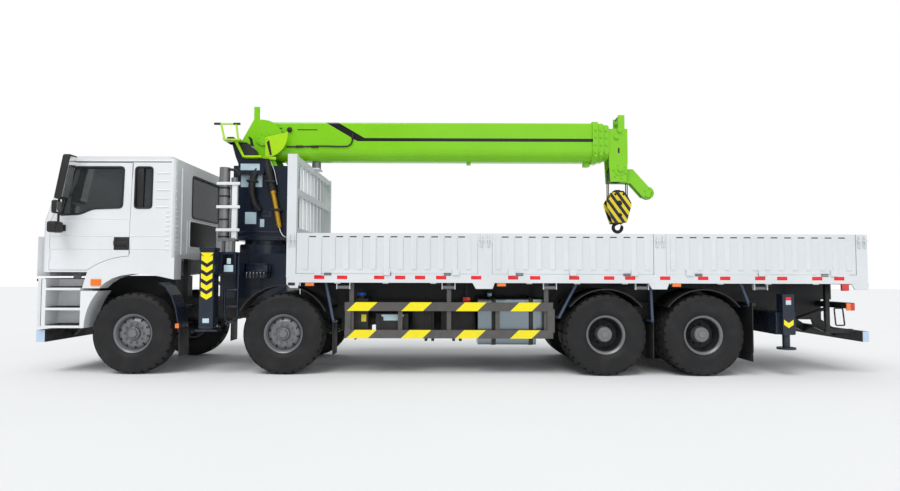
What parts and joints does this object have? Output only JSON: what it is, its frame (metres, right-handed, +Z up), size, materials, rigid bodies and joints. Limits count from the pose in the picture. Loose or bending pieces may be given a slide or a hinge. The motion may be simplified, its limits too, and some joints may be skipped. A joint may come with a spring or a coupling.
{
  "type": "truck-mounted crane",
  "caption": "Cab-over lorry with a slewing telescopic crane behind the cab, stabiliser legs, a drop-side load bed, steered front axles and twin-tyred driven axles.",
  "frame": {"origin": "on the ground under the middle of the vehicle", "axes": "+X rearwards, +Y to the vehicle's right, +Z up"},
  "size_m": [11.7, 2.98, 3.982],
  "materials": {
    "white_paint": "gloss white paint",
    "dark_steel": "black chassis paint",
    "guard_grey": "grey paint",
    "lamp_lens": "clear coloured lens",
    "black_plastic": "grained black plastic",
    "tank_alloy": "bare brushed aluminium",
    "navy_paint": "gloss navy paint",
    "window_glass": "tinted safety glass",
    "wheel_rubber": "black rubber on a steel rim",
    "green_paint": "gloss lime green paint",
    "rod_chrome": "ground chrome",
    "wire_rope": "greased wire rope",
    "block_yellow": "yellow paint with black bands"
  },
  "bodies": {
    "chassis": {"chassis_frame": "dark_steel", "driveline": "dark_steel", "axles": "dark_steel", "springs": "dark_steel", "front_bumper": "white_paint", "guards": "guard_grey", "lamps": "lamp_lens", "mudguards": "black_plastic", "fuel_tank": "tank_alloy", "side_boxes": "black_plastic", "intake_stack": "guard_grey", "bed_floor": "white_paint", "headboard": "white_paint", "outrigger_frames": "navy_paint"},
    "cab": {"cab_shell": "white_paint", "cab_glass": "window_glass", "cab_interior": "black_plastic", "front_panel": "white_paint"},
    "door_left": {"door_left": "white_paint", "door_glass_left": "window_glass", "mirror_left": "black_plastic"},
    "door_right": {"door_right": "white_paint", "door_glass_right": "window_glass", "mirror_right": "black_plastic"},
    "column": {"column": "navy_paint", "operator_station": "green_paint"},
    "knuckle_1_left": {"knuckle_1_left": "dark_steel"},
    "knuckle_1_right": {"knuckle_1_right": "dark_steel"},
    "knuckle_2_left": {"knuckle_2_left": "dark_steel"},
    "knuckle_2_right": {"knuckle_2_right": "dark_steel"},
    "wheel_1_left": {"wheel_1_left": "wheel_rubber"},
    "wheel_1_right": {"wheel_1_right": "wheel_rubber"},
    "wheel_2_left": {"wheel_2_left": "wheel_rubber"},
    "wheel_2_right": {"wheel_2_right": "wheel_rubber"},
    "wheel_3_left": {"wheel_3_left": "wheel_rubber"},
    "wheel_3_right": {"wheel_3_right": "wheel_rubber"},
    "wheel_4_left": {"wheel_4_left": "wheel_rubber"},
    "wheel_4_right": {"wheel_4_right": "wheel_rubber"},
    "gate_1_left": {"gate_1_left": "white_paint"},
    "gate_2_left": {"gate_2_left": "white_paint"},
    "gate_3_left": {"gate_3_left": "white_paint"},
    "gate_1_right": {"gate_1_right": "white_paint"},
    "gate_2_right": {"gate_2_right": "white_paint"},
    "gate_3_right": {"gate_3_right": "white_paint"},
    "tailgate": {"tailgate": "white_paint"},
    "outrigger_left": {"outrigger_left": "navy_paint"},
    "outrigger_right": {"outrigger_right": "navy_paint"},
    "jack_front_left": {"jack_front_left": "navy_paint"},
    "jack_front_right": {"jack_front_right": "navy_paint"},
    "jack_rear_left": {"jack_rear_left": "navy_paint"},
    "jack_rear_right": {"jack_rear_right": "navy_paint"},
    "boom_base": {"boom_base": "green_paint"},
    "boom_mid_1": {"boom_mid_1": "green_paint"},
    "boom_mid_2": {"boom_mid_2": "green_paint"},
    "boom_tip": {"boom_tip": "green_paint"},
    "lift_barrel": {"lift_barrel": "navy_paint"},
    "lift_rod": {"lift_rod": "rod_chrome"},
    "hoist_rope": {"hoist_rope": "wire_rope"},
    "hook_block": {"hook_block": "block_yellow"}
  },
  "joints": [
    {"name": "steer_1_left", "type": "hinge", "parent": "chassis", "child": "knuckle_1_left", "pos_m": [-4.415, -0.86, 0.5625], "axis": [0, 0, 1], "range_deg": [-38, 38]},
    {"name": "spin_1_left", "type": "hinge", "parent": "knuckle_1_left", "child": "wheel_1_left", "pos_m": [-4.415, -1.023, 0.5625], "axis": [0, 1, 0], "continuous": true},
    {"name": "steer_1_right", "type": "hinge", "parent": "chassis", "child": "knuckle_1_right", "pos_m": [-4.415, 0.86, 0.5625], "axis": [0, 0, 1], "range_deg": [-38, 38]},
    {"name": "spin_1_right", "type": "hinge", "parent": "knuckle_1_right", "child": "wheel_1_right", "pos_m": [-4.415, 1.023, 0.5625], "axis": [0, 1, 0], "continuous": true},
    {"name": "steer_2_left", "type": "hinge", "parent": "chassis", "child": "knuckle_2_left", "pos_m": [-2.33, -0.86, 0.5625], "axis": [0, 0, 1], "range_deg": [-27, 27]},
    {"name": "spin_2_left", "type": "hinge", "parent": "knuckle_2_left", "child": "wheel_2_left", "pos_m": [-2.33, -1.023, 0.5625], "axis": [0, 1, 0], "continuous": true},
    {"name": "steer_2_right", "type": "hinge", "parent": "chassis", "child": "knuckle_2_right", "pos_m": [-2.33, 0.86, 0.5625], "axis": [0, 0, 1], "range_deg": [-27, 27]},
    {"name": "spin_2_right", "type": "hinge", "parent": "knuckle_2_right", "child": "wheel_2_right", "pos_m": [-2.33, 1.023, 0.5625], "axis": [0, 1, 0], "continuous": true},
    {"name": "spin_3_left", "type": "hinge", "parent": "chassis", "child": "wheel_3_left", "pos_m": [2.135, -0.918, 0.5625], "axis": [0, 1, 0], "continuous": true},
    {"name": "spin_3_right", "type": "hinge", "parent": "chassis", "child": "wheel_3_right", "pos_m": [2.135, 0.918, 0.5625], "axis": [0, 1, 0], "continuous": true},
    {"name": "spin_4_left", "type": "hinge", "parent": "chassis", "child": "wheel_4_left", "pos_m": [3.485, -0.918, 0.5625], "axis": [0, 1, 0], "continuous": true},
    {"name": "spin_4_right", "type": "hinge", "parent": "chassis", "child": "wheel_4_right", "pos_m": [3.485, 0.918, 0.5625], "axis": [0, 1, 0], "continuous": true},
    {"name": "cab_tilt", "type": "hinge", "parent": "chassis", "child": "cab", "pos_m": [-5.75, 0, 1.15], "axis": [0, -1, 0], "range_deg": [0, 50]},
    {"name": "door_left_swing", "type": "hinge", "parent": "cab", "child": "door_left", "pos_m": [-5.555, -1.22, 2.1], "axis": [0, 0, -1], "range_deg": [0, 72]},
    {"name": "door_right_swing", "type": "hinge", "parent": "cab", "child": "door_right", "pos_m": [-5.555, 1.22, 2.1], "axis": [0, 0, 1], "range_deg": [0, 72]},
    {"name": "gate_1_left_drop", "type": "hinge", "parent": "chassis", "child": "gate_1_left", "pos_m": [-0.87, -1.2794, 1.385], "axis": [1, 0, 0], "range_deg": [0, 178]},
    {"name": "gate_1_right_drop", "type": "hinge", "parent": "chassis", "child": "gate_1_right", "pos_m": [-0.87, 1.2794, 1.385], "axis": [1, 0, 0], "range_deg": [-178, 0]},
    {"name": "gate_2_left_drop", "type": "hinge", "parent": "chassis", "child": "gate_2_left", "pos_m": [1.678, -1.2794, 1.385], "axis": [1, 0, 0], "range_deg": [0, 178]},
    {"name": "gate_2_right_drop", "type": "hinge", "parent": "chassis", "child": "gate_2_right", "pos_m": [1.678, 1.2794, 1.385], "axis": [1, 0, 0], "range_deg": [-178, 0]},
    {"name": "gate_3_left_drop", "type": "hinge", "parent": "chassis", "child": "gate_3_left", "pos_m": [4.277, -1.2794, 1.385], "axis": [1, 0, 0], "range_deg": [0, 178]},
    {"name": "gate_3_right_drop", "type": "hinge", "parent": "chassis", "child": "gate_3_right", "pos_m": [4.277, 1.2794, 1.385], "axis": [1, 0, 0], "range_deg": [-178, 0]},
    {"name": "tailgate_drop", "type": "hinge", "parent": "chassis", "child": "tailgate", "pos_m": [5.7544, 0, 1.385], "axis": [0, 1, 0], "range_deg": [0, 178]},
    {"name": "outrigger_left_slide", "type": "slide", "parent": "chassis", "child": "outrigger_left", "axis": [0, -1, 0], "range_m": [0, 1.7]},
    {"name": "outrigger_right_slide", "type": "slide", "parent": "chassis", "child": "outrigger_right", "axis": [0, 1, 0], "range_m": [0, 1.7]},
    {"name": "jack_front_left_drop", "type": "slide", "parent": "outrigger_left", "child": "jack_front_left", "axis": [0, 0, -1], "range_m": [0, 0.59]},
    {"name": "jack_front_right_drop", "type": "slide", "parent": "outrigger_right", "child": "jack_front_right", "axis": [0, 0, -1], "range_m": [0, 0.59]},
    {"name": "jack_rear_left_drop", "type": "slide", "parent": "chassis", "child": "jack_rear_left", "axis": [0, 0, -1], "range_m": [0, 0.36]},
    {"name": "jack_rear_right_drop", "type": "slide", "parent": "chassis", "child": "jack_rear_right", "axis": [0, 0, -1], "range_m": [0, 0.36]},
    {"name": "slew", "type": "hinge", "parent": "chassis", "child": "column", "pos_m": [-2.894, 0, 1.84], "axis": [0, 0, 1], "continuous": true},
    {"name": "boom_luff", "type": "hinge", "parent": "column", "child": "boom_base", "pos_m": [-2.91, 0, 3.48], "axis": [0, -1, 0], "range_deg": [0, 75]},
    {"name": "telescope_1", "type": "slide", "parent": "boom_base", "child": "boom_mid_1", "axis": [1, 0, 0], "range_m": [0, 3.6]},
    {"name": "telescope_2", "type": "slide", "parent": "boom_mid_1", "child": "boom_mid_2", "axis": [1, 0, 0], "range_m": [0, 3.6]},
    {"name": "telescope_3", "type": "slide", "parent": "boom_mid_2", "child": "boom_tip", "axis": [1, 0, 0], "range_m": [0, 3.6]},
    {"name": "lift_barrel_swing", "type": "hinge", "parent": "column", "child": "lift_barrel", "pos_m": [-2.489, 0, 1.95], "axis": [0, -1, 0], "range_deg": [-6.5, 1]},
    {"name": "lift_rod_slide", "type": "slide", "parent": "lift_barrel", "child": "lift_rod", "axis": [0.0229, 0, 0.9997], "range_m": [0, 0.8]},
    {"name": "hook_swing", "type": "hinge", "parent": "boom_tip", "child": "hoist_rope", "pos_m": [2.641, 0, 3.01], "axis": [0, 1, 0], "range_deg": [-10, 80]},
    {"name": "hoist", "type": "slide", "parent": "hoist_rope", "child": "hook_block", "axis": [0, 0, -1], "range_m": [0, 0.6]}
  ],
  "couplings": [
    {"joint": "steer_1_right", "follows": "steer_1_left", "ratio": 1},
    {"joint": "steer_2_left", "follows": "steer_1_left", "ratio": 0.7},
    {"joint": "steer_2_right", "follows": "steer_1_left", "ratio": 0.7},
    {"joint": "telescope_2", "follows": "telescope_1", "ratio": 1},
    {"joint": "telescope_3", "follows": "telescope_1", "ratio": 1},
    {"joint": "lift_barrel_swing", "follows": "boom_luff", "ratio": -0.0727},
    {"joint": "lift_rod_slide", "follows": "boom_luff", "m_per_rad": 0.581}
  ]
}
